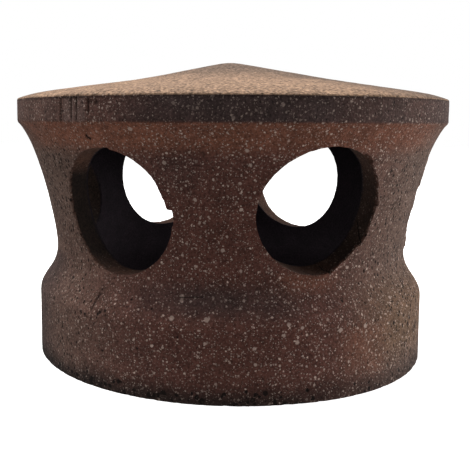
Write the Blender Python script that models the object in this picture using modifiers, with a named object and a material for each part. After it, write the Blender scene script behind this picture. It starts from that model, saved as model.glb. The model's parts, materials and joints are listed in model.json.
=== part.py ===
"""Roof vent lantern: one hollow body of unglazed stoneware, thrown and fired in one piece.

A plain collar stands on the vent pipe, the wall draws in to a waist and flares out to a
thick rim, and a low cone closes the top. Six round holes, cut by hand through the soft
wall, let the air out.

Metres, +Z up. The origin is on the axis, at the underside of the collar. The front is at
-Y, and the two side holes lie near the X axis.
"""

import math

import bpy
from mathutils import Vector, geometry

# The wall and the bore that drops over the pipe
BORE_RADIUS = 0.0798
WALL = 0.0108

# How far the waist is drawn in from the collar, and how far the rim stands out from the waist
WAIST_DRAW = 0.0078
RIM_FLARE = 0.0172

# Heights, stacked from the ground up
COLLAR_HEIGHT = 0.0285
SHOULDER_HEIGHT = 0.0210
HOLE_DROP = 0.0030  # the holes reach this far below the waist
HOLE_RADIUS = 0.0260
HOLE_HEADROOM = 0.0079  # wall left between the holes and the rim
RIM_HEIGHT = 0.0101
LID_RISE = 0.0181
LID_THICKNESS = 0.0105

# Rounded edges, as the length taken off each side of the corner
RIM_ROUND = 0.0012
FOOT_ROUND = 0.0010

# Shape of the curves: handle lengths as shares of the run that each one bends
SHOULDER_ROUND = 0.30
SHOULDER_HOLLOW = 0.56
FLARE_START = 0.18
FLARE_LIP_OUT = 0.50
FLARE_LIP_DOWN = 0.13
LID_BEND = 0.50  # where the lid's slope changes, from the axis to the rim
LID_BEND_HEIGHT = 0.47  # height of that place, as a share of the lid's rise
LID_SLOPE = 0.15
LID_TIP = 0.06  # half width of the rounded tip
LID_UPPER_PULL = 0.19
LID_LOWER_PULL = 0.10
LID_EDGE_IN = 0.046
LID_EDGE_UP = 0.14
CORNER_PULL = 0.55

# Each hole as the hand left it, counted from +X towards +Y: how far it is turned from even
# spacing and how far it leans (degrees), how far it is lifted and how much wider than tall
# it came out (metres). A hole that leans down points at the ground outside.
HAND_CUT_HOLES = [
    {"turn": 0.6, "lean": -3.0, "lift": 0.0000, "wider": 0.0000},
    {"turn": 0.9, "lean": -4.0, "lift": -0.0004, "wider": 0.0002},
    {"turn": 2.9, "lean": -1.6, "lift": 0.0010, "wider": 0.0001},
    {"turn": -2.5, "lean": -3.0, "lift": 0.0000, "wider": 0.0000},
    {"turn": 0.0, "lean": -2.8, "lift": -0.0014, "wider": 0.0000},
    {"turn": -3.4, "lean": -10.9, "lift": 0.0004, "wider": 0.0007},
]

# Fineness of the surfaces: steps round the body, sides of a hole, and steps along each curve
TURN_STEPS = 72
HOLE_SIDES = 40
LID_STEPS = 5
OUTSIDE_STEPS = {"flare": 9, "shoulder": 7}
INSIDE_STEPS = {"flare": 6, "shoulder": 5}
CEILING_STEPS = 3
ROUNDED_STEPS = 2

COLLAR_RADIUS = BORE_RADIUS + WALL
WAIST_RADIUS = COLLAR_RADIUS - WAIST_DRAW
RIM_RADIUS = WAIST_RADIUS + RIM_FLARE
WAIST_Z = COLLAR_HEIGHT + SHOULDER_HEIGHT
HOLE_Z = WAIST_Z - HOLE_DROP + HOLE_RADIUS
HOLE_WALL_RADIUS = WAIST_RADIUS + RIM_FLARE / 4  # where the wall stands at the height of the holes
RIM_BOTTOM_Z = HOLE_Z + HOLE_RADIUS + HOLE_HEADROOM
RIM_TOP_Z = RIM_BOTTOM_Z + RIM_HEIGHT
TOP_Z = RIM_TOP_Z + LID_RISE


def at(radius, height):
    """A point of the profile, in the plane that runs from the axis along +X."""
    return Vector((radius, 0.0, height))


def curve(start, start_handle, end_handle, end, steps):
    """Points along one cubic curve, both ends included."""
    return geometry.interpolate_bezier(start, start_handle, end_handle, end, steps + 1)


def rounded(before, corner, after, reach):
    """Points that round off a corner between two runs."""
    start = corner + (before - corner).normalized() * reach
    end = corner + (after - corner).normalized() * reach
    start_handle = start.lerp(corner, CORNER_PULL)
    end_handle = end.lerp(corner, CORNER_PULL)
    return curve(start, start_handle, end_handle, end, ROUNDED_STEPS)


def lid_top():
    """The low cone, from its rounded tip down to the rim's upper edge."""
    tip = at(0.0, TOP_Z)
    bend = at(LID_BEND * RIM_RADIUS, RIM_TOP_Z + LID_BEND_HEIGHT * LID_RISE)
    edge = at(RIM_RADIUS, RIM_TOP_Z)
    slope = at(1.0, -LID_SLOPE) * RIM_RADIUS
    tip_handle = tip + at(LID_TIP * RIM_RADIUS, 0.0)
    edge_handle = edge + at(-LID_EDGE_IN * RIM_RADIUS, LID_EDGE_UP * LID_RISE)
    corner = rounded(edge_handle, edge, at(RIM_RADIUS, RIM_BOTTOM_Z), RIM_ROUND)
    upper = curve(tip, tip_handle, bend - slope * LID_UPPER_PULL, bend, LID_STEPS)
    lower = curve(bend, bend + slope * LID_LOWER_PULL, edge_handle, corner[0], LID_STEPS)
    return upper + lower[1:-1] + corner


def wall_side(inset, steps):
    """The wall's side from under the rim down to the top of the collar, moved inwards by the inset."""
    lip = at(RIM_RADIUS - inset, RIM_BOTTOM_Z)
    waist = at(WAIST_RADIUS - inset, WAIST_Z)
    collar_top = at(COLLAR_RADIUS - inset, COLLAR_HEIGHT)
    flare_height = RIM_BOTTOM_Z - WAIST_Z
    lip_handle = lip - at(FLARE_LIP_OUT * RIM_FLARE, FLARE_LIP_DOWN * flare_height)
    waist_upper = waist + at(0.0, FLARE_START * flare_height)
    waist_lower = waist - at(0.0, SHOULDER_HOLLOW * SHOULDER_HEIGHT)
    collar_handle = collar_top + at(0.0, SHOULDER_ROUND * SHOULDER_HEIGHT)
    flare = curve(lip, lip_handle, waist_upper, waist, steps["flare"])
    shoulder = curve(waist, waist_lower, collar_handle, collar_top, steps["shoulder"])
    return flare + shoulder[1:]


def foot():
    """The flat ring that the lantern stands on, with both its edges rounded."""
    outer = at(COLLAR_RADIUS, 0.0)
    inner = at(BORE_RADIUS, 0.0)
    above = at(0.0, COLLAR_HEIGHT)
    return (rounded(outer + above, outer, inner, FOOT_ROUND)
            + rounded(outer, inner, inner + above, FOOT_ROUND))


def body_profile():
    """The half section, down the outside, across the foot, up the inside and back to the axis."""
    outside = wall_side(0.0, OUTSIDE_STEPS)
    inside = list(reversed(wall_side(WALL, INSIDE_STEPS)))
    ceiling_middle = at(0.0, TOP_Z - LID_THICKNESS)
    ceiling = [inside[-1].lerp(ceiling_middle, (i + 1) / CEILING_STEPS) for i in range(CEILING_STEPS)]
    return lid_top() + outside + foot() + inside + ceiling


def make_stoneware():
    """Dark iron-rich stoneware, fired without a glaze."""
    material = bpy.data.materials.new("unglazed dark stoneware")
    material.use_nodes = True
    shader = material.node_tree.nodes["Principled BSDF"]
    shader.inputs["Base Color"].default_value = (0.095, 0.055, 0.043, 1.0)
    shader.inputs["Roughness"].default_value = 0.85
    shader.inputs["Metallic"].default_value = 0.0
    return material


def make_body(collection):
    """The turned body, before its holes are cut."""
    points = body_profile()
    edges = [(i, i + 1) for i in range(len(points) - 1)]
    mesh = bpy.data.meshes.new("vent_lantern")
    mesh.from_pydata(points, edges, [])
    mesh.materials.append(make_stoneware())
    body = bpy.data.objects.new("vent_lantern", mesh)
    collection.objects.link(body)
    turned = body.modifiers.new("turned on the wheel", 'SCREW')
    turned.angle = math.tau
    turned.screw_offset = 0.0
    turned.steps = TURN_STEPS
    turned.render_steps = TURN_STEPS
    turned.use_merge_vertices = True
    turned.merge_threshold = 0.00001
    turned.use_smooth_shade = True
    return body


def make_hole_cutter(number, hole, collection):
    """A round cutter that stands across the wall where one hole goes."""
    bearing = math.tau * number / len(HAND_CUT_HOLES) + math.radians(hole["turn"])
    lean = math.radians(hole["lean"])
    place = (
        HOLE_WALL_RADIUS * math.cos(bearing),
        HOLE_WALL_RADIUS * math.sin(bearing),
        HOLE_Z + hole["lift"],
    )
    bpy.ops.mesh.primitive_cylinder_add(
        vertices=HOLE_SIDES,
        radius=HOLE_RADIUS,
        depth=2 * (WALL + RIM_FLARE),
        location=place,
        rotation=(0.0, math.pi / 2 - lean, bearing),
    )
    cutter = bpy.context.object
    cutter.name = f"hole_cutter_{number + 1}"
    cutter.scale.y = 1.0 + hole["wider"] / HOLE_RADIUS
    cutter.hide_render = True
    cutter.display_type = 'WIRE'
    for owner in list(cutter.users_collection):
        owner.objects.unlink(cutter)
    collection.objects.link(cutter)


def make_lantern():
    """The whole lantern: the turned body with its holes cut through the wall."""
    for old in list(bpy.data.objects):
        bpy.data.objects.remove(old, do_unlink=True)
    scene_collection = bpy.context.scene.collection
    parts = bpy.data.collections.new("roof vent lantern")
    cutters = bpy.data.collections.new("hole cutters")
    scene_collection.children.link(parts)
    scene_collection.children.link(cutters)
    body = make_body(parts)
    for number, hole in enumerate(HAND_CUT_HOLES):
        make_hole_cutter(number, hole, cutters)
    pierced = body.modifiers.new("holes cut through", 'BOOLEAN')
    pierced.operation = 'DIFFERENCE'
    pierced.operand_type = 'COLLECTION'
    pierced.collection = cutters
    pierced.solver = 'EXACT'


make_lantern()
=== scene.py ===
"""The looks of the roof vent lantern: coarse dark stoneware, thrown on a wheel, pierced by hand
and fired bare.

Everything is in metres, +Z up, in the frame of the solid. The front is at -Y. Bearings are in
degrees round the axis, from +X towards +Y, so the front is at -90. Angles round a hole are in
degrees as seen from outside: 0 below, 90 on the right, 180 on top and 270 on the left.
"""

import bisect
import json
import math

import bmesh
import bpy
from mathutils import Matrix, Vector, geometry, noise

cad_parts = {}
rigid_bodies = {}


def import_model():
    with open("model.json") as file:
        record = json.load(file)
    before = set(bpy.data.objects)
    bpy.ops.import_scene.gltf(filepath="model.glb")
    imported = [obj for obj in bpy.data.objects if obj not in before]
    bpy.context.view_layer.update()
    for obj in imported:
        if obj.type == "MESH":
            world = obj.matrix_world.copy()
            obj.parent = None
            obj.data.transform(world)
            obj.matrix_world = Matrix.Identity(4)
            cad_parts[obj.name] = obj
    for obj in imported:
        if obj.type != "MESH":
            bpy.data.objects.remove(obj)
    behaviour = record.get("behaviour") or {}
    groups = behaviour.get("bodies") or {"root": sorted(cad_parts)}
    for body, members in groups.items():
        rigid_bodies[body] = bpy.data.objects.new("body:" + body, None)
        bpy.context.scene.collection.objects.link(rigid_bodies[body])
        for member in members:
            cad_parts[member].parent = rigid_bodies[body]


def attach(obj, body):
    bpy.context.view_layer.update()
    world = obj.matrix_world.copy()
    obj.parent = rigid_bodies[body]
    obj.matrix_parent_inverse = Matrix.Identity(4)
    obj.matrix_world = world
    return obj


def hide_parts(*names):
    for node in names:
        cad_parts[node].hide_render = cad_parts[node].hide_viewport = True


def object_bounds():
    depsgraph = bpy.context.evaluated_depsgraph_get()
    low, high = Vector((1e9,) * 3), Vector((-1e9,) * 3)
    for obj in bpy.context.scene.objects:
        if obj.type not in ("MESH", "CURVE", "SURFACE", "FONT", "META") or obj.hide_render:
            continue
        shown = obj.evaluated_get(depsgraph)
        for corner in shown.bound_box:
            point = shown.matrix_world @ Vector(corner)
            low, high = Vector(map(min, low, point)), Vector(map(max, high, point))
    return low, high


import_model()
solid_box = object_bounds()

MM = 0.001

# The turned body, as on the solid
BORE_RADIUS = 0.0798
WALL = 0.0108
WAIST_DRAW = 0.0078
RIM_FLARE = 0.0172
COLLAR_HEIGHT = 0.0285
SHOULDER_HEIGHT = 0.0210
HOLE_DROP = 0.0030
HOLE_RADIUS = 0.0260
HOLE_HEADROOM = 0.0079
RIM_HEIGHT = 0.0101
LID_RISE = 0.0181
LID_THICKNESS = 0.0105

# Rounded edges, as the length taken off each side of the corner
RIM_EDGE = 0.0006
LIP_ROUND = 0.0008
FOOT_ROUND = 0.0010
FOOT_EDGE = 0.0005

# Shape of the curves: handle lengths as shares of the run that each one bends
SHOULDER_ROUND = 0.30
SHOULDER_HOLLOW = 0.56
FLARE_START = 0.18
FLARE_LIP_OUT = 0.50
FLARE_LIP_DOWN = 0.13
LID_BEND = 0.50
LID_BEND_HEIGHT = 0.47
LID_SLOPE = 0.15
LID_TIP = 0.06
LID_UPPER_PULL = 0.19
LID_LOWER_PULL = 0.10
LID_EDGE_IN = 0.046
LID_EDGE_UP = 0.14
CORNER_PULL = 0.55

# The holes, counted from +X towards +Y: turn from even spacing and lean (degrees), lift and
# extra width (metres)
HAND_CUT_HOLES = [
    {"turn": 0.6, "lean": -3.0, "lift": 0.0000, "wider": 0.0000},
    {"turn": 0.9, "lean": -4.0, "lift": -0.0004, "wider": 0.0002},
    {"turn": 2.9, "lean": -1.6, "lift": 0.0010, "wider": 0.0001},
    {"turn": -2.5, "lean": -3.0, "lift": 0.0000, "wider": 0.0000},
    {"turn": 0.0, "lean": -2.8, "lift": -0.0014, "wider": 0.0000},
    {"turn": -3.4, "lean": -10.9, "lift": 0.0004, "wider": 0.0007},
]

COLLAR_RADIUS = BORE_RADIUS + WALL
WAIST_RADIUS = COLLAR_RADIUS - WAIST_DRAW
RIM_RADIUS = WAIST_RADIUS + RIM_FLARE
WAIST_Z = COLLAR_HEIGHT + SHOULDER_HEIGHT
HOLE_Z = WAIST_Z - HOLE_DROP + HOLE_RADIUS
HOLE_WALL_RADIUS = WAIST_RADIUS + RIM_FLARE / 4
RIM_BOTTOM_Z = HOLE_Z + HOLE_RADIUS + HOLE_HEADROOM
RIM_TOP_Z = RIM_BOTTOM_Z + RIM_HEIGHT
TOP_Z = RIM_TOP_Z + LID_RISE

# Fineness of the mesh
CURVE_STEPS = 60
ROUND_STEPS = 3
RIM_ROUND_STEPS = 4
TURN_STEPS = 400
LID_ROW = 2.4 * MM
WALL_ROW = 1.3 * MM
FOOT_ROW = 0.7 * MM
FOOT_BAND = 6 * MM  # height of the crumbly band above the foot
INSIDE_STEPS = 144
INSIDE_ROW = 2.6 * MM
HOLE_SIDES = {0: 240, 1: 180, 2: 180, 3: 180, 4: 480, 5: 420}  # most for the two at the front
HOLE_RING = 0.9 * MM


def at(radius, height):
    """A point of the profile, in the plane that runs from the axis along +X."""
    return Vector((radius, 0.0, height))


def curve(start, start_handle, end_handle, end, steps=CURVE_STEPS):
    """Points along one cubic curve, both ends included."""
    return list(geometry.interpolate_bezier(start, start_handle, end_handle, end, steps + 1))


def rounded(before, corner, after, reach, steps=ROUND_STEPS):
    """Points that round off a corner between two runs."""
    start = corner + (before - corner).normalized() * reach
    end = corner + (after - corner).normalized() * reach
    return curve(start, start.lerp(corner, CORNER_PULL), end.lerp(corner, CORNER_PULL), end, steps)


def spaced(run, spacing):
    """The same run with its points spread evenly, about one spacing apart."""
    travelled = [0.0]
    for before, after in zip(run, run[1:]):
        travelled.append(travelled[-1] + (after - before).length)
    count = max(1, round(travelled[-1] / spacing))
    points = []
    for i in range(count + 1):
        distance = travelled[-1] * i / count
        k = min(max(bisect.bisect_left(travelled, distance), 1), len(run) - 1)
        share = (distance - travelled[k - 1]) / (travelled[k] - travelled[k - 1])
        points.append(run[k - 1].lerp(run[k], share))
    return points


def lid_run():
    """The low cone, from its rounded tip down to the start of the rim's rounded edge."""
    tip = at(0.0, TOP_Z)
    bend = at(LID_BEND * RIM_RADIUS, RIM_TOP_Z + LID_BEND_HEIGHT * LID_RISE)
    slope = at(1.0, -LID_SLOPE) * RIM_RADIUS
    upper = curve(tip, tip + at(LID_TIP * RIM_RADIUS, 0.0), bend - slope * LID_UPPER_PULL, bend)
    lower = curve(bend, bend + slope * LID_LOWER_PULL, lid_edge_handle(), rim_corner()[0])
    return upper + lower[1:]


def lid_edge_handle():
    """The handle that the lid's lower curve leaves the rim by."""
    return at(RIM_RADIUS * (1.0 - LID_EDGE_IN), RIM_TOP_Z + LID_EDGE_UP * LID_RISE)


def rim_corner():
    """The rim's rounded upper edge."""
    below = at(RIM_RADIUS, RIM_BOTTOM_Z)
    return rounded(lid_edge_handle(), at(RIM_RADIUS, RIM_TOP_Z), below, RIM_EDGE, RIM_ROUND_STEPS)


def wall_run(inset):
    """The wall's side from under the rim down to the top of the collar, moved inwards by the inset."""
    lip = at(RIM_RADIUS - inset, RIM_BOTTOM_Z)
    waist = at(WAIST_RADIUS - inset, WAIST_Z)
    collar_top = at(COLLAR_RADIUS - inset, COLLAR_HEIGHT)
    flare_height = RIM_BOTTOM_Z - WAIST_Z
    lip_handle = lip - at(FLARE_LIP_OUT * RIM_FLARE, FLARE_LIP_DOWN * flare_height)
    flare = curve(lip, lip_handle, waist + at(0.0, FLARE_START * flare_height), waist)
    shoulder = curve(waist, waist - at(0.0, SHOULDER_HOLLOW * SHOULDER_HEIGHT),
                     collar_top + at(0.0, SHOULDER_ROUND * SHOULDER_HEIGHT), collar_top)
    return flare + shoulder[1:]


WALL_OUTSIDE = list(reversed(wall_run(0.0)))
WALL_HEIGHTS = [point.z for point in WALL_OUTSIDE]


def outside_radius(height):
    """How far from the axis the bare wall's outside stands at a height."""
    if height <= COLLAR_HEIGHT:
        return COLLAR_RADIUS
    if height >= RIM_BOTTOM_Z:
        return RIM_RADIUS
    k = bisect.bisect_right(WALL_HEIGHTS, height)
    below, above = WALL_OUTSIDE[k - 1], WALL_OUTSIDE[k]
    return below.x + (above.x - below.x) * (height - below.z) / (above.z - below.z)


def outside_profile():
    """The outside from the tip of the lid down to the foot and in to the axis below."""
    corner = rim_corner()
    wall = wall_run(0.0)
    lip = rounded(corner[-1], wall[0], wall[3], LIP_ROUND)
    collar_top = at(COLLAR_RADIUS, COLLAR_HEIGHT)
    foot = rounded(collar_top, at(COLLAR_RADIUS, 0.0), at(BORE_RADIUS, 0.0), FOOT_EDGE)
    runs = [
        spaced(lid_run(), LID_ROW),
        corner,
        spaced([corner[-1], lip[0]], WALL_ROW),
        lip,
        spaced([lip[-1]] + [point for point in wall if point.z < lip[-1].z], WALL_ROW),
        spaced([wall[-1], at(COLLAR_RADIUS, FOOT_BAND)], WALL_ROW),
        spaced([at(COLLAR_RADIUS, FOOT_BAND), foot[0]], FOOT_ROW),
        foot,
        spaced([foot[-1], at(BORE_RADIUS - 2 * MM, 0.0)], WALL_ROW),
        [at(0.0, 0.0)],
    ]
    return [point for run in runs for point in run]


def inside_profile():
    """The hollow, from its ceiling's middle down the wall, out past the foot and back to the axis."""
    wall = wall_run(WALL)
    bore = at(BORE_RADIUS, 0.0)
    foot = rounded(at(BORE_RADIUS, COLLAR_HEIGHT), bore, at(COLLAR_RADIUS, 0.0), FOOT_ROUND)
    below = foot[-1] + at(2 * MM, -2 * MM)
    return (spaced([at(0.0, TOP_Z - LID_THICKNESS), wall[0]], INSIDE_ROW) + spaced(wall, INSIDE_ROW)
            + spaced([wall[-1], foot[0]], INSIDE_ROW) + foot + [below, at(0.0, below.z)])


def turned(profile, steps):
    """A closed form turned from its profile: a quarter is spun on the axis and then mirrored twice."""
    form = bmesh.new()
    points = [form.verts.new(point) for point in profile]
    lines = [form.edges.new(pair) for pair in zip(points, points[1:])]
    bmesh.ops.spin(form, geom=points + lines, cent=(0, 0, 0), axis=(0, 0, 1),
                   angle=math.tau / 4, steps=steps // 4)
    for axis in ('X', 'Y'):
        bmesh.ops.mirror(form, geom=form.verts[:] + form.edges[:] + form.faces[:], axis=axis,
                         merge_dist=0.00002)
    bmesh.ops.remove_doubles(form, verts=form.verts, dist=0.00002)
    bmesh.ops.recalc_face_normals(form, faces=form.faces)
    form.normal_update()
    return form


def ease(value, start, end):
    """0 before the start and 1 after the end, with a soft change between them."""
    share = min(max((value - start) / (end - start), 0.0), 1.0)
    return share * share * (3.0 - 2.0 * share)


def near(value, middle, full, none):
    """1 within one distance of the middle and 0 beyond a greater one, with a soft change."""
    return 1.0 - ease(abs(value - middle), full, none)


def bearing_of(point):
    """The bearing of a point, between -180 and 180."""
    return math.degrees(math.atan2(point.y, point.x))


def apart(bearing, other):
    """Degrees between two bearings, the short way round."""
    return abs((bearing - other + 180.0) % 360.0 - 180.0)


# What the hand and the tools left on the outside. The marks get painted shade: a mark this deep
# is painted fully dark, unless it is an unshaded one.
MARK_SHADE_DEPTH = 0.55 * MM
RIM_GROOVES = [
    {"bearing": -128.5, "half": 0.40 * MM, "deep": 0.45 * MM, "top": 0.1156, "bottom": 0.1052},
    {"bearing": -124.9, "half": 0.42 * MM, "deep": 0.40 * MM, "top": 0.1156, "bottom": 0.1060},
    {"bearing": -123.2, "half": 0.36 * MM, "deep": 0.48 * MM, "top": 0.1163, "bottom": 0.1056},
    {"bearing": -119.8, "half": 0.42 * MM, "deep": 0.60 * MM, "top": 0.1152, "bottom": 0.1084},
]
SCRATCH = {"from": (-124.7, 0.0378), "to": (-125.3, 0.0306), "half": 0.30 * MM, "deep": 0.40 * MM}
DENTS = [
    {"bearing": -117.5, "height": 0.1135, "half": 1.9 * MM, "deep": 0.42 * MM},
    {"bearing": -118.9, "height": 0.1137, "half": 1.4 * MM, "deep": 0.45 * MM},
    {"bearing": -83.8, "height": 0.1163, "half": 4.0 * MM, "deep": 0.28 * MM, "unshaded": True},
    {"bearing": -122.4, "height": 0.1013, "half": 0.8 * MM, "deep": 0.50 * MM},
    {"bearing": -121.6, "height": 0.1002, "half": 0.7 * MM, "deep": 0.35 * MM},
    {"bearing": -46.5, "height": 0.0470, "half": 0.9 * MM, "deep": 0.70 * MM},
    {"bearing": -49.9, "height": 0.0355, "half": 0.7 * MM, "deep": 0.45 * MM},
    {"bearing": -51.1, "height": 0.0349, "half": 0.6 * MM, "deep": 0.40 * MM},
    {"bearing": -121.8, "height": 0.0320, "half": 0.9 * MM, "deep": 0.45 * MM},
    {"bearing": -123.2, "height": 0.0312, "half": 0.7 * MM, "deep": 0.40 * MM},
    {"bearing": -126.4, "height": 0.0281, "half": 0.8 * MM, "deep": 0.40 * MM},
    {"bearing": -144.5, "height": 0.0064, "half": 1.0 * MM, "deep": 0.50 * MM},
    {"bearing": -115.3, "height": 0.0048, "half": 0.9 * MM, "deep": 0.60 * MM},
    {"bearing": -68.2, "height": 0.0051, "half": 1.0 * MM, "deep": 0.60 * MM},
]


def dent_depth(bearing, height, radius, shaded_only=False):
    """How deep the tool marks and knocks are at a place on the outside."""
    deepest = 0.0
    for groove in RIM_GROOVES:
        if not groove["bottom"] < height < groove["top"]:
            continue
        aside = math.radians(apart(bearing, groove["bearing"])) * radius
        if aside < 2 * groove["half"]:
            fade = ease(height, groove["bottom"], groove["bottom"] + 2 * MM)
            fade *= 1.0 - ease(aside, 0.0, 1.6 * groove["half"])
            deepest = max(deepest, groove["deep"] * fade)
    (start_bearing, start_height), (end_bearing, end_height) = SCRATCH["from"], SCRATCH["to"]
    share = (start_height - height) / (start_height - end_height)
    if 0.0 < share < 1.0:
        on_line = start_bearing + (end_bearing - start_bearing) * share
        aside = math.radians(apart(bearing, on_line)) * radius
        deepest = max(deepest, SCRATCH["deep"] * (1.0 - ease(aside, 0.0, 2 * SCRATCH["half"])))
    for dent in DENTS:
        if abs(height - dent["height"]) > dent["half"] or (shaded_only and dent.get("unshaded")):
            continue
        aside = math.radians(apart(bearing, dent["bearing"])) * radius
        away = math.hypot(aside, height - dent["height"])
        deepest = max(deepest, dent["deep"] * (1.0 - ease(away, 0.0, dent["half"])))
    return deepest


def marked(face):
    """Whether a face lies where the tool marks and knocks need a finer mesh."""
    middle = face.calc_center_median()
    bearing = bearing_of(middle)
    on_rim = -131 < bearing < -115 and 0.1045 < middle.z < 0.1170
    near_scratch = -128 < bearing < -120 and 0.0265 < middle.z < 0.0390
    near_dent = any(apart(bearing, dent["bearing"]) < 1.2 and abs(middle.z - dent["height"]) < 2 * MM
                    for dent in DENTS)
    return middle.z < RIM_TOP_Z + 0.4 * MM and (on_rim or near_scratch or near_dent)


def hole_frame(number):
    """Where a hole's cutter stands: its own Z runs out through the wall and its own X points down."""
    hole = HAND_CUT_HOLES[number]
    bearing = math.tau * number / len(HAND_CUT_HOLES) + math.radians(hole["turn"])
    place = Vector((HOLE_WALL_RADIUS * math.cos(bearing), HOLE_WALL_RADIUS * math.sin(bearing),
                    HOLE_Z + hole["lift"]))
    return (Matrix.Translation(place) @ Matrix.Rotation(bearing, 4, 'Z')
            @ Matrix.Rotation(math.pi / 2 - math.radians(hole["lean"]), 4, 'Y'))


HOLE_FRAMES = [hole_frame(number) for number in range(len(HAND_CUT_HOLES))]
HOLE_INVERSES = [matrix.inverted() for matrix in HOLE_FRAMES]


def from_hole_edge(point):
    """Distance from the nearest hole's edge, outwards, the angle round that hole and its number."""
    best = (1.0, 0.0, 0)
    for number, inverse in enumerate(HOLE_INVERSES):
        local = inverse @ point
        if local.z > -0.02:
            reach = math.hypot(local.x, local.y) - HOLE_RADIUS
            if abs(reach) < abs(best[0]):
                best = (reach, math.degrees(math.atan2(local.y, local.x)) % 360.0, number)
    return best


# Clay that the cutting tool pushed up beside a hole: how far it stands proud at angles round the hole
BURRS = {
    0: [(218, 0.0), (236, 0.7), (254, 1.1), (258, 0.5), (264, 0.5), (273, 1.2), (279, 0.7), (294, 0.3),
        (306, 0.6), (320, 1.3), (336, 1.1), (350, 0.3), (358, 0.0)],
    4: [(94, 0.0), (97, 0.4), (136, 0.3), (142, 0.0)],
    5: [(72, 0.0), (80, 0.4), (124, 0.35), (132, 0.0)],
}
BURR_WIDTH = 2.2 * MM


def along(table, place):
    """The value at a place in a table of (place, value) rows, straight between them and 0 outside."""
    for (start, low), (end, high) in zip(table, table[1:]):
        if start <= place < end:
            return low + (high - low) * (place - start) / (end - start)
    return 0.0


def burr_height(point):
    """How far the clay beside a hole stands proud."""
    reach, angle, number = from_hole_edge(point)
    if reach < -1.5 * MM or reach > BURR_WIDTH or number not in BURRS:
        return 0.0
    crumbs = 0.8 + 0.5 * noise.noise(point / (2.4 * MM))
    return along(BURRS[number], angle) * MM * crumbs * (1.0 - ease(reach, 0.2 * MM, BURR_WIDTH))


EDGE_BUMPS = {"from": -131.0, "to": -117.8, "height": 0.1163, "proud": 0.45 * MM}


def edge_bumps(bearing, point):
    """Small bumps that the grooving tool threw up along the rim's upper edge."""
    if not EDGE_BUMPS["from"] < bearing < EDGE_BUMPS["to"]:
        return 0.0
    near_edge = 1.0 - ease(abs(point.z - EDGE_BUMPS["height"]), 0.2 * MM, 1.0 * MM)
    return EDGE_BUMPS["proud"] * near_edge * max(noise.noise(point / (1.7 * MM)) + 0.15, 0.0)


COLLAR_SWELL = 0.30 * MM
FOOT_SPREAD = {"bearing": -42.0, "half": 34.0, "height": 12 * MM, "out": 0.8 * MM}


def outside_move(point):
    """How far a point of the outside moves along its normal, for unevenness, grain and marks."""
    bearing = bearing_of(point)
    radius = math.hypot(point.x, point.y)
    uneven = 0.18 * MM * noise.noise(point / (34 * MM))
    lumps = 0.07 * MM * noise.noise(point / (6.5 * MM))
    grain = 0.05 * MM * noise.noise(point / (1.6 * MM))
    move = uneven + lumps + grain - dent_depth(bearing, point.z, radius)
    if WAIST_Z - 6 * MM < point.z < RIM_BOTTOM_Z:
        move += burr_height(point)
    elif point.z > RIM_BOTTOM_Z:
        move += edge_bumps(bearing, point)
    else:
        move += COLLAR_SWELL * (1.0 - ease(point.z, COLLAR_HEIGHT, WAIST_Z - 6 * MM))
        move += (FOOT_SPREAD["out"] * (1.0 - ease(point.z, 0.0, FOOT_SPREAD["height"]))
                 * (1.0 - ease(apart(bearing, FOOT_SPREAD["bearing"]), 0.0, FOOT_SPREAD["half"])))
    if point.z < FOOT_BAND:
        near_foot = 1.0 - ease(point.z, 0.4 * MM, FOOT_BAND)
        crumbled = noise.noise(point / (2.2 * MM)) + 0.3 * noise.noise(point / (7 * MM))
        move -= near_foot * 0.70 * MM * max(crumbled - 0.1, 0.0)
    return move


LID_BULGE = {"bearing": -12.0, "half": 80.0, "from": 0.000, "to": 0.080, "height": 0.75 * MM,
             "all round": 0.28 * MM}


def lid_bulge(point):
    """The lid is a little fuller on its right-hand side."""
    radius = math.hypot(point.x, point.y)
    round_it = 1.0 - ease(apart(bearing_of(point), LID_BULGE["bearing"]), 0.0, LID_BULGE["half"])
    middle = (LID_BULGE["from"] + LID_BULGE["to"]) / 2
    across = 1.0 - ease(abs(radius - middle), 0.0, (LID_BULGE["to"] - LID_BULGE["from"]) / 2)
    near_edge = ease(radius, RIM_RADIUS - 1 * MM, RIM_RADIUS - 8 * MM)
    return LID_BULGE["height"] * round_it * across + LID_BULGE["all round"] * near_edge


def keep_in_box(point):
    """Holds a point inside the box of the solid."""
    for axis in range(3):
        point[axis] = min(max(point[axis], solid_box[0][axis]), solid_box[1][axis])


def make_outside():
    """The outside as one closed lump of clay, with the marks of the hand."""
    form = turned(outside_profile(), TURN_STEPS)
    fine = {edge for face in form.faces if marked(face) for edge in face.edges}
    bmesh.ops.subdivide_edges(form, edges=list(fine), cuts=2, use_grid_fill=True)
    form.normal_update()
    moves = []
    for vert in form.verts:
        if vert.co.z < 0.05 * MM:
            moves.append(0.0)
        elif vert.co.z > RIM_TOP_Z:
            moves.append(outside_move(vert.co) + lid_bulge(vert.co))
        else:
            moves.append(outside_move(vert.co))
    for vert, move in zip(form.verts, moves):
        vert.co += vert.normal * move
        keep_in_box(vert.co)
    return form


def make_inside():
    """The hollow, with the low rings that the thrower's fingers left."""
    form = turned(inside_profile(), INSIDE_STEPS)
    for vert in form.verts:
        if FOOT_ROUND < vert.co.z:
            spiral = vert.co.z / (5.5 * MM) + bearing_of(vert.co) / 360.0
            rings = 0.16 * MM * math.sin(math.tau * spiral)
            vert.co += vert.normal * (rings + 0.15 * MM * noise.noise(vert.co / (14 * MM)))
    return form


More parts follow.
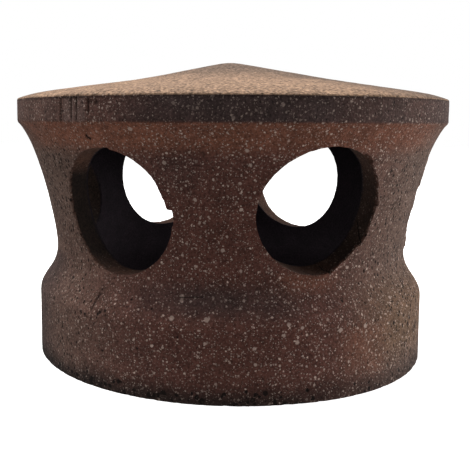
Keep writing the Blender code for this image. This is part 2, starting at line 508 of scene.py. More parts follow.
# Places where the cut left the circle: clay torn out (wider) or dragged in (narrower), with the angles
# round the hole and how far in from the skin it reaches
CHIPS = [
    {"hole": 4, "from": 94.8, "to": 130, "wider": -1.15 * MM, "reach": 2.2 * MM, "start": 0.6,
     "end": 22.0},
    {"hole": 4, "from": 78, "to": 95.4, "wider": 0.65 * MM, "reach": 3.0 * MM, "start": 6.0, "end": 0.6},
    {"hole": 4, "from": 168, "to": 178, "wider": 0.45 * MM, "reach": 2.5 * MM},
    {"hole": 4, "from": 318, "to": 338, "wider": 0.45 * MM, "reach": 1.6 * MM},
    {"hole": 5, "from": 134, "to": 149, "wider": 1.20 * MM, "reach": 2.2 * MM, "end": 1.0},
    {"hole": 5, "from": 108, "to": 122, "wider": 0.50 * MM, "reach": 2.0 * MM},
    {"hole": 5, "from": 89, "to": 102, "wider": 1.10 * MM, "reach": 2.4 * MM, "start": 1.0, "end": 9.0},
    {"hole": 5, "from": 66, "to": 84, "wider": -0.45 * MM, "reach": 2.2 * MM},
    {"hole": 5, "from": 14, "to": 52, "wider": -1.40 * MM, "reach": 3.2 * MM, "start": 16.0, "end": 3.0},
    {"hole": 2, "from": 84, "to": 90, "wider": -0.60 * MM, "reach": 4.0 * MM},
    {"hole": 5, "from": 11, "to": 16, "wider": 0.60 * MM, "reach": 12.0 * MM},
]
HOLE_TIGHTER = 0.18 * MM

# How frayed each hole's outer edge is, at angles round the hole
FRAYED = {
    0: [(0, 0.5), (200, 0.6), (230, 1.0), (330, 1.0), (360, 0.5)],
    4: [(0, 0.4), (80, 0.2), (200, 0.3), (270, 0.9), (340, 0.9), (360, 0.4)],
    5: [(0, 0.3), (35, 0.9), (150, 0.9), (170, 0.3), (360, 0.3)],
}


def cut_move(number, angle, skin_depth, point):
    """How far a hole's side moves away from the hole's middle."""
    drag = 0.06 * MM * noise.noise(Vector((angle / 3.2, number * 7.3, 0.0)))
    torn = 0.08 * MM * noise.noise(point / (1.7 * MM)) + 0.06 * MM * noise.noise(point / (5 * MM))
    near_skin = 1.0 - ease(skin_depth, 0.3 * MM, 1.8 * MM)
    frays = along(FRAYED[number], angle) if number in FRAYED else 0.5
    crumbs = noise.noise(point / (2.1 * MM) + Vector((5.1, 0, 0)))
    frayed = 0.55 * MM * frays * near_skin * max(crumbs, -0.2)
    move = drag + torn + frayed - HOLE_TIGHTER
    for chip in CHIPS:
        if chip["hole"] == number and chip["from"] < angle < chip["to"]:
            fade = (ease(angle, chip["from"], chip["from"] + chip.get("start", 2.5))
                    * (1.0 - ease(angle, chip["to"] - chip.get("end", 2.5), chip["to"]))
                    * (1.0 - ease(skin_depth, 0.4 * chip["reach"], chip["reach"])))
            move += chip["wider"] * fade
    return move


def make_cutter(number):
    """The closed form that one hole takes out of the wall."""
    hole = HAND_CUT_HOLES[number]
    length = 2 * (WALL + RIM_FLARE)
    form = bmesh.new()
    bmesh.ops.create_cone(form, cap_ends=True, segments=HOLE_SIDES[number], radius1=HOLE_RADIUS,
                          radius2=HOLE_RADIUS, depth=length)
    long_edges = [edge for edge in form.edges if edge.calc_length() > length / 2]
    bmesh.ops.subdivide_edges(form, edges=long_edges, cuts=round(length / HOLE_RING) - 1)
    wider = 1.0 + hole["wider"] / HOLE_RADIUS
    for vert in form.verts:
        around = math.atan2(vert.co.y, vert.co.x)
        angle = math.degrees(around) % 360.0
        vert.co.y *= wider
        point = HOLE_FRAMES[number] @ vert.co
        skin_depth = outside_radius(point.z) - math.hypot(point.x, point.y)
        move = cut_move(number, angle, skin_depth, point)
        vert.co += Vector((math.cos(around), math.sin(around), 0.0)) * move
    bmesh.ops.transform(form, matrix=HOLE_FRAMES[number], verts=form.verts)
    return form


def as_object(form, name, collection):
    """Turns a bmesh into an object at the origin."""
    mesh = bpy.data.meshes.new(name)
    form.to_mesh(mesh)
    form.free()
    piece = bpy.data.objects.new(name, mesh)
    collection.objects.link(piece)
    return piece


def make_body():
    """The lantern: the lump, hollowed and pierced, as one mesh."""
    cutters = bpy.data.collections.new("hollow and hole cutters")
    bpy.context.scene.collection.children.link(cutters)
    lump = as_object(make_outside(), "lump", bpy.context.scene.collection)
    as_object(make_inside(), "hollow", cutters)
    for number in range(len(HAND_CUT_HOLES)):
        as_object(make_cutter(number), f"hole cutter {number + 1}", cutters)
    cut = lump.modifiers.new("hollowed and pierced", 'BOOLEAN')
    cut.operation = 'DIFFERENCE'
    cut.operand_type = 'COLLECTION'
    cut.collection = cutters
    cut.solver = 'MANIFOLD'
    finished = bpy.data.meshes.new_from_object(lump.evaluated_get(bpy.context.evaluated_depsgraph_get()))
    finished.name = "lantern_body"
    for helper in list(cutters.objects) + [lump]:
        bpy.data.objects.remove(helper, do_unlink=True)
    bpy.data.collections.remove(cutters)
    body = bpy.data.objects.new("lantern_body", finished)
    bpy.context.scene.collection.objects.link(body)
    finished.shade_smooth()
    finished.set_sharp_from_angle(angle=math.radians(42))
    return body


# Zones of colour, each from 0 to 1

# Painted shade: a dark line along the rim, just under the lid's paler face
RIM_EDGE_SHADE_Z = RIM_TOP_Z - 0.85 * MM

# How far the rim's smoke fades, at bearings round the axis
RIM_FADES = [(-180, 0.6), (-150, 0.8), (-122, 0.8), (-116, 0.68), (-103, 0.12), (-97, 0.0),
             (-80, 0.0), (-72, 0.04), (-56, 0.25), (-45, 0.41), (-33, 0.48), (-20, 0.31),
             (20, 0.6), (181, 0.6)]


def smoke_and_left_shade_at(point, bearing, cloud):
    """Smoke-blackened clay: the rim at the front, a patch on the shoulder and a veil beside a hole;
    and painted shade on the collar's left-hand side."""
    on_rim = ease(point.z, RIM_BOTTOM_Z - 0.6 * MM, RIM_BOTTOM_Z + 0.8 * MM) * (
        1.0 - ease(point.z, RIM_TOP_Z - 0.3 * MM, RIM_TOP_Z + 0.5 * MM))
    patch = near(point.z, 0.0390, 0.001, 0.0095) * (1.0 - ease(apart(bearing, -88.5), 6.0, 33.0))
    veil = near(point.z, 0.0900, 0.001, 0.012) * (1.0 - ease(apart(bearing, -100.5), 1.0, 9.0))
    # Painted shade on the collar's left-hand side
    left = 0.75 * (1.0 - ease(point.z, 0.044, 0.052)) * (1.0 - ease(apart(bearing, -170.0), 12.0, 34.0))
    on_rim *= 1.0 - along(RIM_FADES, bearing) + 0.25 * cloud
    return max(on_rim, patch * (0.80 + 0.5 * cloud), 0.30 * veil, left)


def rust_at(point, bearing, cloud):
    """Redder clay: the strip that the rim sheltered and a few flashes of flame on the collar."""
    strip = ease(point.z, 0.092, 0.1005) * (
        1.0 - ease(point.z, RIM_BOTTOM_Z - 0.4 * MM, RIM_BOTTOM_Z + 0.6 * MM))
    strip *= 1.0 - 0.8 * ease(apart(bearing, -90.0), 46.0, 72.0)
    under_hole = near(point.z, 0.0455, 0.001, 0.006) * (1.0 - ease(apart(bearing, -66.8), 2.0, 12.0))
    collar = near(point.z, 0.018, 0.006, 0.014) * (1.0 - ease(apart(bearing, -51.0), 3.0, 13.0))
    return max(strip * (0.9 + 0.4 * cloud), 0.6 * under_hole, collar * (0.30 + 0.4 * cloud))


def painted_side_light_at(point, bearing):
    """Paler, greyer colour at the sides, painted sheen of the side lights, which begins nearer to the
    middle on the left and on the rim.
    """
    aside = apart(bearing, -90.0)
    if point.z > RIM_BOTTOM_Z:
        return 0.5 * ease(aside, 10.0, 48.0)
    if bearing > -90.0:
        return ease(aside, 22.0, 60.0)
    low_down = (1.0 - ease(point.z, 0.050, 0.075)) * (1.0 - ease(aside, 70.0, 90.0))
    return ease(aside, 14.0, 50.0) * (1.0 - 0.2 * low_down)


def ochre_at(point, bearing):
    """Yellower clay low down on the right."""
    return (ease(bearing, -60.0, -36.0) * (1.0 - ease(bearing, 10.0, 40.0))
            * ease(point.z, 0.004, 0.020) * (1.0 - ease(point.z, 0.028, 0.050)))


def crumbly_at(point, bearing, cloud):
    """Dark, crumbling clay along the foot, which thins out towards the right."""
    height = point.z + 1.2 * MM * cloud
    rightwards = ease(apart(bearing, -130.0), 48.0, 75.0)
    return (1.0 - ease(height, 1.0 * MM, 10.5 * MM)) * (1.0 - 0.3 * rightwards)


def dust_and_top_light_at(point, radius):
    """The lid's paler face, right out to the rim's edge: partly dust, partly painted top light."""
    from_above = ease(point.z, RIM_TOP_Z - 0.50 * MM, RIM_TOP_Z - 0.28 * MM)
    from_within = ease(radius, RIM_RADIUS - 0.7 * MM, RIM_RADIUS - 1.0 * MM)
    return max(from_above, from_within) if point.z > RIM_TOP_Z - 1.2 * MM else 0.0


def lid_shade_at(bearing, radius, cloud):
    """Painted shade on the lid, greyer and darker: round its tip and at its left-hand and right-hand
    sides.
    """
    near_tip = 0.95 * (1.0 - ease(radius, 0.010, 0.068))
    wider = 16.0 * (1.0 - ease(radius, 0.035, 0.070))
    right = 1.0 - ease(apart(bearing, 20.0), 50.0 + wider, 84.0 + wider)
    left = 0.70 * (1.0 - ease(apart(bearing, 180.0), 24.0, 44.0))
    return min(max(near_tip, right, left) + 0.15 * cloud, 1.0)


# How much painted shade darkens the holes' cut faces, at angles round the hole
CUT_SHADES = {
    1: [(0, 0.45), (361, 0.45)],
    3: [(0, 0.95), (361, 0.95)],
    4: [(0, 0.3), (30, 0.6), (120, 0.6), (180, 0.0), (222, 0.0), (240, 1.0), (318, 1.0), (345, 0.6),
        (361, 0.3)],
    5: [(0, 0.5), (15, 0.6), (35, 0.95), (70, 0.85), (105, 0.78), (130, 0.5), (165, 0.45),
        (200, 0.5), (361, 0.5)],
}


def cut_shade_at(point):
    """How much painted shade darkens a hole's cut face."""
    _, angle, number = from_hole_edge(point)
    return along(CUT_SHADES[number], angle) if number in CUT_SHADES else 0.0


def scraped_at(point, bearing):
    """Lighter ridges that the grooving tool left on the rim."""
    if not (-128.2 < bearing < -120.2 and 0.1050 < point.z < 0.1162):
        return 0.0
    between = ease(bearing, -128.2, -127.0) * (1.0 - ease(bearing, -121.2, -120.2))
    return between * ease(point.z, 0.1050, 0.1075)


def zone_values(point):
    """The colour zones at a point of the finished mesh."""
    bearing = bearing_of(point)
    radius = math.hypot(point.x, point.y)
    cloud = noise.noise(point / (16 * MM))
    skin_depth = outside_radius(point.z) - radius
    below_lid = point.z < RIM_BOTTOM_Z + 0.5 * MM
    under_ceiling = radius < RIM_RADIUS - 5 * MM and point.z < ceiling_height(radius) + 1.5 * MM
    # The inside is painted near-black: painted shade for the dim hollow
    inside = ease(skin_depth, WALL - 1.2 * MM, WALL - 0.5 * MM) if below_lid else float(under_ceiling)
    cut_face = ease(skin_depth, 0.7 * MM, 1.3 * MM) if 8 * MM < point.z < RIM_BOTTOM_Z else 0.0
    outside = 1.0 - max(inside, cut_face)
    # Painted shade in the tool marks, knocks and scratch, darker as they get deeper
    mark_shade = dent_depth(bearing, point.z, radius, shaded_only=True) / MARK_SHADE_DEPTH
    return {
        "smoke_and_left_shade": smoke_and_left_shade_at(point, bearing, cloud) * outside,
        "rust": rust_at(point, bearing, cloud) * outside,
        "dust_and_top_light": dust_and_top_light_at(point, radius) * (1.0 - inside),
        "lid_shade": lid_shade_at(bearing, radius, cloud) if point.z > RIM_TOP_Z else 0.0,
        "scraped": scraped_at(point, bearing),
        "cut_face": cut_face,
        "cut_shade": cut_face * cut_shade_at(point) if cut_face else 0.0,
        "inside": inside,
        "mark_shade": min(mark_shade, 1.0) * outside,
        "crumbly": crumbly_at(point, bearing, cloud) * outside,
        "ochre": ochre_at(point, bearing) * outside,
        # Painted shade along the rim's upper edge
        "rim_edge_shade": near(point.z, RIM_EDGE_SHADE_Z, 0.15 * MM, 0.50 * MM),
        # The paler, greyer sides are painted sheen of the side lights
        "side": painted_side_light_at(point, bearing) * outside,
    }


def ceiling_height(radius):
    """Height of the ceiling's straight cone."""
    return TOP_Z - LID_THICKNESS - (TOP_Z - LID_THICKNESS - RIM_BOTTOM_Z) * radius / (RIM_RADIUS - WALL)


def paint_zones(body):
    """Stores the colour zones on the mesh, for the material to read."""
    mesh = body.data
    rows = [zone_values(vert.co) for vert in mesh.vertices]
    for name in rows[0]:
        layer = mesh.attributes.new(name, 'FLOAT', 'POINT')
        layer.data.foreach_set("value", [row[name] for row in rows])


def linear(colour):
    """An sRGB hex colour as linear red, green, blue and alpha."""
    parts = [int(colour[i:i + 2], 16) / 255 for i in (1, 3, 5)]
    return tuple(c / 12.92 if c <= 0.04045 else ((c + 0.055) / 1.055) ** 2.4 for c in parts) + (1.0,)


def add(tree, kind, inputs=(), **settings):
    """Adds a node. Its inputs are listed or named, each a plain value or the socket that feeds it."""
    new = tree.nodes.new("ShaderNode" + kind)
    for name, value in settings.items():
        setattr(new, name, value)
    for name, value in inputs.items() if isinstance(inputs, dict) else enumerate(inputs):
        if isinstance(value, bpy.types.NodeSocket):
            tree.links.new(value, new.inputs[name])
        else:
            new.inputs[name].default_value = value
    return new.outputs


# Grog, the crushed fired clay in the body: size of the cells that each hold one grain, largest
# grain radius (both in mm), the share of cells with a grain, how well it shows, and its own place
# in the pattern
GROG = [
    {"cell": 5.60, "radius": 0.85, "share": 0.90, "shows": 0.85, "shift": 3.7},
    {"cell": 1.70, "radius": 0.62, "share": 0.95, "shows": 1.00, "shift": 11.3},
    {"cell": 0.92, "radius": 0.40, "share": 0.95, "shows": 1.00, "shift": 23.9},
    {"cell": 0.66, "radius": 0.28, "share": 0.95, "shows": 0.80, "shift": 31.1},
]

# Pits where grains fell out: size of the cells that each hold one, and largest radius, both in mm
PIT_CELL = 1.3
PIT_RADIUS = 0.62
PIT_FLATNESS = 0.6  # below 1 the small pits are taller than wide, as the wet hand drew them out
FOOT_PIT_CELL = 2.1
FOOT_PIT_RADIUS = 1.5

# The share of cells with a small pit, and how much more or less of them each zone has
PIT_SHARE = 0.38
PIT_SHARE_CHANGES = {"side": 0.72, "dust_and_top_light": -0.20, "rust": -0.50}

# Width of the soft edge of a grain and of a pit, in mm
GRAIN_EDGE = 0.12
PIT_EDGE = 0.10

# How dark the pits are, how pale the largest grains, and the relief of the skin's grain and of a
# pit, in mm
PIT_DARKNESS = 0.92
LARGEST_GRAIN_STRENGTH = 0.7
GRAIN_RELIEF = 0.16
PIT_RELIEF = 0.25

# How much of the grog each zone hides
GROG_VEILS = {"inside": 1.0, "dust_and_top_light": 0.75, "cut_face": 0.85, "cut_shade": 1.0, "crumbly": 0.50,
              "smoke_and_left_shade": 0.62}

# The largest grains at the front, each where the photo shows it: bearing in degrees, height and
# radius in mm
LARGEST_GRAINS = [
    (-99.8, 40.2, 0.89), (-99.8, 38.7, 0.77), (-93.0, 32.8, 1.06), (-101.6, 32.6, 1.00),
    (-59.4, 27.4, 1.00), (-51.4, 27.5, 1.02), (-69.9, 29.6, 0.77), (-71.2, 24.4, 0.89),
    (-73.2, 31.0, 0.77), (-74.5, 27.3, 0.77), (-53.3, 49.6, 0.73), (-96.5, 51.7, 0.69),
    (-84.6, 50.3, 0.61), (-81.6, 22.4, 0.77), (-81.3, 16.3, 0.73), (-93.2, 24.1, 0.69),
    (-103.0, 91.6, 0.74), (-84.2, 96.4, 0.72), (-83.2, 91.1, 0.73), (-85.4, 84.3, 0.62),
    (-96.2, 77.8, 0.67), (-89.4, 58.4, 0.72), (-99.4, 113.2, 0.67), (-77.3, 112.8, 0.71),
    (-87.3, 107.9, 0.67), (-109.7, 103.9, 0.92), (-38.8, 35.1, 0.77),
]

# The darkest pits at the front, in the same terms
DARKEST_PITS = [
    (-126.4, 34.2, 0.60), (-129.0, 29.7, 0.70), (-127.3, 29.0, 0.65), (-122.2, 31.1, 0.80),
    (-120.6, 31.9, 0.70), (-122.8, 30.2, 0.65), (-121.0, 16.0, 0.60), (-132.8, 36.6, 0.60),
    (-100.0, 26.0, 0.55), (-110.4, 19.6, 0.60), (-113.7, 37.2, 0.50), (-107.3, 35.0, 0.50),
    (-57.0, 37.3, 0.60), (-68.3, 5.2, 0.90), (-78.8, 5.0, 1.10), (-81.2, 4.6, 0.80),
    (-100.1, 3.2, 0.80), (-116.0, 4.9, 1.00), (-117.4, 4.4, 0.70), (-89.1, 4.0, 0.70),
]

# Fine cracks and scratches, each from one point to another, with half their width, in mm
CRACKS = [
    ((-51.6, -80.9, 101.2), (-50.1, -81.3, 100.1), 0.6),
    ((38.9, -64.5, 49.3), (39.7, -68.2, 48.7), 0.45),
    ((39.7, -68.2, 48.7), (42.2, -69.6, 48.1), 0.45),
    ((54.6, -53.6, 66.5), (54.8, -59.0, 61.1), 0.40),
    ((54.8, -59.0, 61.1), (55.1, -61.8, 59.1), 0.40),
    ((-15.3, -83.7, 39.8), (-6.4, -84.6, 40.4), 0.24),
    ((-48.7, -71.4, 37.5), (-51.8, -73.7, 32.0), 0.42),
    ((-46.7, -84.5, 117.9), (-42.4, -77.2, 119.7), 0.40),
    ((-43.3, -88.2, 117.3), (-40.4, -85.7, 118.4), 0.35),
]

# Sizes of the clay's patterns, in mm: clouds, mottles, the grain of the skin and the lid's dust
CLOUD_SIZE = 40.0
MOTTLE_SIZE = 7.0
GRAIN_SIZE = 0.9
DUST_SIZE = 1.3
BENDS_PER_MM = 1.3  # how often a grain's outline bends
BEND_REACH = 0.9  # and how far it bends from side to side, in mm

# The clay's colours by zone, and how strongly each zone shows
CLAY = {
    "plain": "#604039",
    "plain redder": "#69433a",
    # side: painted sheen of the side lights
    "side": "#78665a",
    "ochre": "#84654b",
    "rust": "#895845",
    # charcoal: smoke on the rim and shoulder, painted shade on the collar's left
    "smoke_and_left_shade": "#493a38",
    "scraped": "#74605a",
    "crumbly": "#302623",
    # dusty: the lid's paler face, partly dust, partly painted top light
    "dust_and_top_light": "#977a63",
    # lid smoke: painted shade on the lid
    "lid_shade": "#5f4f44",
    # edge line: painted shade under the rim's upper edge
    "rim_edge_shade": "#2c1d18",
    "cut_face": "#664739",
    # sooty cut: painted shade on the holes' cut faces
    "cut_shade": "#191715",
    # inside: painted shade for the dim hollow
    "inside": "#241b21",
}
ZONE_STRENGTH = {
    "side": 0.62, "ochre": 0.6, "rust": 1.0, "smoke_and_left_shade": 1.0, "scraped": 0.5, "crumbly": 0.90,
    "dust_and_top_light": 1.0, "lid_shade": 0.85, "rim_edge_shade": 0.75, "cut_face": 1.0, "cut_shade": 0.86,
    "inside": 1.0,
}

# The colours of the grog, and the dark colour of the pits and cracks, which also paints the shade in the
# tool marks and knocks
GROG_PALE = "#ead0c0"
GROG_TAN = "#c0a89b"
GROG_LARGEST = "#d4bbad"
PIT_DARK_AND_MARK_SHADE = "#1a110d"


def make_stoneware():
    """Coarse stoneware, unglazed and fired dark: a dull, dry, gritty skin, red-brown in the mass,
    with pale grog showing as specks, small pits where grains fell out, and smoky patches from
    the kiln."""
    material = bpy.data.materials.new("unglazed dark stoneware")
    material.use_nodes = True
    tree = material.node_tree
    tree.nodes.clear()
    place = add(tree, "TexCoord")["Object"]
    mm = add(tree, "VectorMath", {0: place, "Scale": 1000.0}, operation='SCALE')[0]
    zones = {name: add(tree, "Attribute", attribute_name=name)["Fac"]
             for name in ("mark_shade", *ZONE_STRENGTH)}

    # Grains aren't round: the pattern's coordinates are bent a little
    bend = add(tree, "TexNoise", {"Vector": mm, "Scale": BENDS_PER_MM, "Detail": 1.0})["Color"]
    bend = add(tree, "VectorMath", [bend, (0.5, 0.5, 0.5)], operation='SUBTRACT')[0]
    bend = add(tree, "VectorMath", {0: bend, "Scale": BEND_REACH}, operation='SCALE')[0]
    bent = add(tree, "VectorMath", [mm, bend], operation='ADD')[0]
    drawn_up = add(tree, "VectorMath", [bent, (1.0, 1.0, PIT_FLATNESS)], operation='MULTIPLY')[0]

    # The clay's own colour
    clouds = add(tree, "TexNoise", {"Vector": mm, "Scale": 1 / CLOUD_SIZE, "Detail": 2.0})["Fac"]
    redder = add(tree, "Math", [clouds, 1.6], operation='MULTIPLY', use_clamp=True)[0]
    plain, plain_redder = linear(CLAY["plain"]), linear(CLAY["plain redder"])
    colour = add(tree, "Mix", {0: redder, 6: plain, 7: plain_redder}, data_type='RGBA')[2]
    for zone, strength in ZONE_STRENGTH.items():
        share = add(tree, "Math", [zones[zone], strength], operation='MULTIPLY')[0]
        colour = add(tree, "Mix", {0: share, 6: colour, 7: linear(CLAY[zone])}, data_type='RGBA')[2]

    # Its mottles and grain, and the dust on the lid
    mottle = add(tree, "TexNoise", {"Vector": mm, "Scale": 1 / MOTTLE_SIZE, "Detail": 3.0})["Fac"]
    grain = add(tree, "TexNoise", {"Vector": mm, "Scale": 1 / GRAIN_SIZE, "Detail": 1.0})["Fac"]
    dust = add(tree, "TexNoise", {"Vector": mm, "Scale": 1 / DUST_SIZE, "Detail": 1.0})["Fac"]
    coarse = add(tree, "MapRange", [mottle, 0.3, 0.7, 0.80, 1.20])[0]
    fine = add(tree, "MapRange", [grain, 0.2, 0.8, 0.45, 1.55])[0]
    shade = add(tree, "Math", [coarse, fine], operation='MULTIPLY')[0]
    dust = add(tree, "Math", [dust, 0.5], operation='SUBTRACT')[0]
    dustiness = add(tree, "Math", [zones["dust_and_top_light"], 2.8], operation='MULTIPLY')[0]
    dust = add(tree, "Math", [dust, dustiness, 1.0], operation='MULTIPLY_ADD')[0]
    shade = add(tree, "Math", [shade, dust], operation='MULTIPLY')[0]
    colour = add(tree, "Mix", {0: 1.0, 6: colour, 7: shade}, data_type='RGBA', blend_type='MULTIPLY')[2]

    def dots(where, cell, radius, wanted, shift, soft):
        """Dots in the wanted share of the cells, and two random values for each. All in mm."""
        spot = add(tree, "VectorMath", [where, (shift, 0.7 * shift, -shift)], operation='ADD')[0]
        cells = add(tree, "TexVoronoi", {"Vector": spot, "Scale": 1 / cell}, feature='F1')
        chance = add(tree, "SeparateColor", [cells["Color"]])
        size = add(tree, "Math", [wanted, chance["Red"]], operation='SUBTRACT', use_clamp=True)[0]
        size = add(tree, "Math", [size, radius / cell], operation='MULTIPLY')[0]
        here = add(tree, "Math", [size, cells["Distance"]], operation='SUBTRACT')[0]
        here = add(tree, "Math", [here, soft / cell], operation='DIVIDE', use_clamp=True)[0]
        return here, chance["Green"], chance["Blue"]

    def blots(places):
        """Blots, each at its own bearing and height on the wall."""
        nearest = 100.0
        for bearing, height, size in places:
            around = math.radians(bearing)
            reach = outside_radius(height * MM) / MM
            centre = (reach * math.cos(around), reach * math.sin(around), height)
            away = add(tree, "VectorMath", [bent, centre], operation='DISTANCE')["Value"]
            away = add(tree, "Math", [away, size], operation='SUBTRACT')[0]
            nearest = add(tree, "Math", [away, nearest], operation='MINIMUM')[0]
        return add(tree, "MapRange", [nearest, 0.15, -0.15, 0.0, 1.0])[0]

    # How bare the grog lies: veiled by smoke, dust and painted shade, fainter at the sides, clearer on
    # the right
    veiled = 0.0
    for zone, hidden in GROG_VEILS.items():
        veil = add(tree, "Math", [zones[zone], hidden], operation='MULTIPLY')[0]
        veiled = add(tree, "Math", [veil, veiled], operation='MAXIMUM')[0]
    bare = add(tree, "Math", [1.0, veiled], operation='SUBTRACT')[0]
    clear = add(tree, "Math", [zones["ochre"], 0.6], operation='MULTIPLY')[0]
    faint = add(tree, "Math", [zones["side"], 0.38], operation='MULTIPLY')[0]
    faint = add(tree, "Math", [faint, clear], operation='SUBTRACT', use_clamp=True)[0]
    clear = add(tree, "Math", [1.0, faint], operation='SUBTRACT')[0]
    bare = add(tree, "Math", [bare, clear], operation='MULTIPLY')[0]
    across = add(tree, "SeparateXYZ", [mm])["X"]
    clear = add(tree, "MapRange", [across, -70.0, 50.0, 0.84, 1.18])[0]
    bare = add(tree, "Math", [bare, clear], operation='MULTIPLY')[0]

    # Grog: one grain in most cells, seen where the skin cuts through it
    for layer in GROG:
        here, glow, hue = dots(bent, layer["cell"], layer["radius"], layer["share"], layer["shift"],
                               GRAIN_EDGE)
        faintest, clearest = 0.36 * layer["shows"], 1.1 * layer["shows"]
        tint = add(tree, "MapRange", [glow, 0.0, 1.0, faintest, clearest])[0]
        share = add(tree, "Math", [here, tint], operation='MULTIPLY')[0]
        share = add(tree, "Math", [share, bare], operation='MULTIPLY')[0]
        grog = {0: hue, 6: linear(GROG_PALE), 7: linear(GROG_TAN)}
        grog = add(tree, "Mix", grog, data_type='RGBA')[2]
        colour = add(tree, "Mix", {0: share, 6: colour, 7: grog}, data_type='RGBA')[2]
    share = add(tree, "Math", [blots(LARGEST_GRAINS), LARGEST_GRAIN_STRENGTH], operation='MULTIPLY')[0]
    share = add(tree, "Math", [share, bare], operation='MULTIPLY')[0]
    colour = add(tree, "Mix", {0: share, 6: colour, 7: linear(GROG_LARGEST)}, data_type='RGBA')[2]

    # Pits where grains fell out and the cracks, and painted shade in the tool marks, knocks and
    # scratches
    wanted = PIT_SHARE
    for zone, change in PIT_SHARE_CHANGES.items():
        wanted = add(tree, "Math", [zones[zone], change, wanted], operation='MULTIPLY_ADD')[0]
    small = dots(drawn_up, PIT_CELL, PIT_RADIUS, wanted, 47.0, PIT_EDGE)[0]
    large = dots(bent, FOOT_PIT_CELL, FOOT_PIT_RADIUS, zones["crumbly"], 19.0, PIT_EDGE)[0]
    pit = zones["mark_shade"]
    for more in (small, large, blots(DARKEST_PITS)):
        pit = add(tree, "Math", [pit, more], operation='MAXIMUM')[0]
    for start, end, half in CRACKS:
        run = Vector(end) - Vector(start)
        away = add(tree, "VectorMath", [mm, start], operation='SUBTRACT')[0]
        passed = add(tree, "VectorMath", [away, run], operation='DOT_PRODUCT')["Value"]
        passed = add(tree, "Math", [passed, run.length_squared], operation='DIVIDE', use_clamp=True)[0]
        on_run = add(tree, "VectorMath", {0: run, "Scale": passed}, operation='SCALE')[0]
        away = add(tree, "VectorMath", [away, on_run], operation='DISTANCE')["Value"]
        crack = add(tree, "MapRange", [away, half, 0.5 * half, 0.0, 1.0])[0]
        pit = add(tree, "Math", [pit, crack], operation='MAXIMUM')[0]
    share = add(tree, "Math", [pit, PIT_DARKNESS], operation='MULTIPLY')[0]
    colour = add(tree, "Mix", {0: share, 6: colour, 7: linear(PIT_DARK_AND_MARK_SHADE)}, data_type='RGBA')[2]

    # Relief of the skin, in millimetres
    height = add(tree, "Math", [grain, GRAIN_RELIEF], operation='MULTIPLY')[0]
    height = add(tree, "Math", [pit, -PIT_RELIEF, height], operation='MULTIPLY_ADD')[0]
    relief = add(tree, "Bump", {"Strength": 1.0, "Distance": MM, "Height": height})[0]

    shader = add(tree, "BsdfPrincipled", {
        "Base Color": colour, "Roughness": 0.9, "Metallic": 0.0, "Specular IOR Level": 0.25,
        "Normal": relief})[0]
    add(tree, "OutputMaterial", {"Surface": shader})
    return material


FLOOR_GLOW = 0.90


def make_floor():
    """A plain pale floor that glows a little, so that it stays white to the eye right up to the
    foot. It throws no light on the lantern, whose front is dark."""
    form = bmesh.new()
    bmesh.ops.create_grid(form, x_segments=1, y_segments=1, size=3.0)
    floor = as_object(form, "floor", bpy.context.scene.collection)
    material = bpy.data.materials.new("matt white card")
    material.use_nodes = True
    shader = material.node_tree.nodes["Principled BSDF"]
    shader.inputs["Base Color"].default_value = linear("#f4f3f1")
    shader.inputs["Roughness"].default_value = 0.9
    shader.inputs["Emission Color"].default_value = (1.0, 1.0, 1.0, 1.0)
    shader.inputs["Emission Strength"].default_value = FLOOR_GLOW
    floor.data.materials.append(material)
    floor.visible_diffuse = False
    floor.visible_glossy = False


# Strength of the surroundings as light, near the horizon and overhead
LIGHT_LOW = 0.30
LIGHT_OVERHEAD = 0.14


def make_surroundings():
    """White all round to the eye, but dim as light, and dimmer still overhead."""
    world = bpy.data.worlds.new("white studio")
    bpy.context.scene.world = world
    world.use_nodes = True
    tree = world.node_tree
    tree.nodes.clear()
    direction = add(tree, "TexCoord")["Generated"]
    upward = add(tree, "SeparateXYZ", [direction])["Z"]
    level = add(tree, "MapRange", [upward, 0.10, 0.60, LIGHT_LOW, LIGHT_OVERHEAD])[0]
    lit = add(tree, "Background", {"Color": (1, 1, 1, 1), "Strength": level})[0]
    seen = add(tree, "Background", {"Color": (1, 1, 1, 1), "Strength": 1.0})[0]
    by_eye = add(tree, "LightPath")["Is Camera Ray"]
    both = add(tree, "MixShader", [by_eye, lit, seen])[0]
    add(tree, "OutputWorld", {"Surface": both})


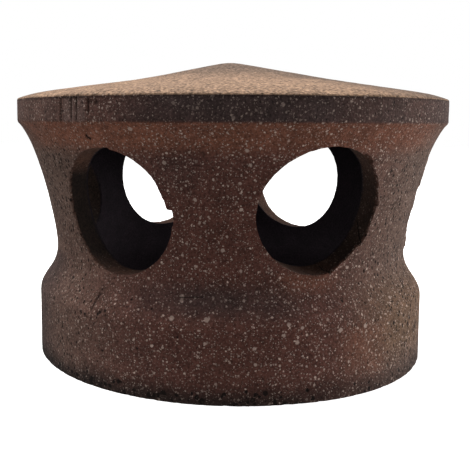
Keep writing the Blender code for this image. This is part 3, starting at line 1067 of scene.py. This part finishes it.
def make_light(name, width, height, place, power):
    """A soft box that faces the lantern."""
    light = bpy.data.lights.new(name, 'AREA')
    light.shape = 'RECTANGLE'
    light.size = width
    light.size_y = height
    light.energy = power
    box = bpy.data.objects.new(name, light)
    box.location = place
    box.rotation_euler = (Vector((0.0, 0.0, 0.07)) - Vector(place)).to_track_quat('-Z', 'Y').to_euler()
    box.visible_camera = False
    bpy.context.scene.collection.objects.link(box)


# The camera, worked out from the outline and the holes: distance from the axis and height in metres,
# then its angles in radians
CAMERA_DISTANCE = 0.35651
CAMERA_HEIGHT = 0.10644
CAMERA_PITCH = 0.1127
CAMERA_YAW = -0.0533
CAMERA_ROLL = -0.0052
CAMERA_TURN = math.radians(2.0)
PICTURE_SIDE = 470.0
FOCAL_PIXELS = 731.0
SHIFT_PIXELS = (45.0, -30.0)


def make_camera():
    """The camera where the photographer stood."""
    lens = bpy.data.cameras.new("camera")
    lens.sensor_width = 36.0
    lens.lens = FOCAL_PIXELS * lens.sensor_width / PICTURE_SIDE
    lens.shift_x = SHIFT_PIXELS[0] / PICTURE_SIDE
    lens.shift_y = SHIFT_PIXELS[1] / PICTURE_SIDE
    camera = bpy.data.objects.new("camera", lens)
    camera.matrix_world = (Matrix.Rotation(CAMERA_TURN, 4, 'Z')
                           @ Matrix.Translation((0.0, -CAMERA_DISTANCE, CAMERA_HEIGHT))
                           @ Matrix.Rotation(-CAMERA_YAW, 4, 'Z')
                           @ Matrix.Rotation(math.pi / 2 - CAMERA_PITCH, 4, 'X')
                           @ Matrix.Rotation(-CAMERA_ROLL, 4, 'Z'))
    bpy.context.scene.collection.objects.link(camera)
    bpy.context.scene.camera = camera


make_camera()
make_surroundings()
make_floor()
make_light("top light", width=1.0, height=1.0, place=(-0.20, 0.15, 0.93), power=14.5)
make_light("left light", width=0.7, height=0.25, place=(-0.91, -0.04, 0.11), power=0.95)
make_light("right light", width=0.7, height=0.4, place=(0.92, 0.15, 0.21), power=5.4)
bpy.context.scene.view_settings.view_transform = 'Standard'

body = make_body()
paint_zones(body)
body.data.materials.clear()
body.data.materials.append(make_stoneware())
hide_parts("vent_lantern")
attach(body, "root")
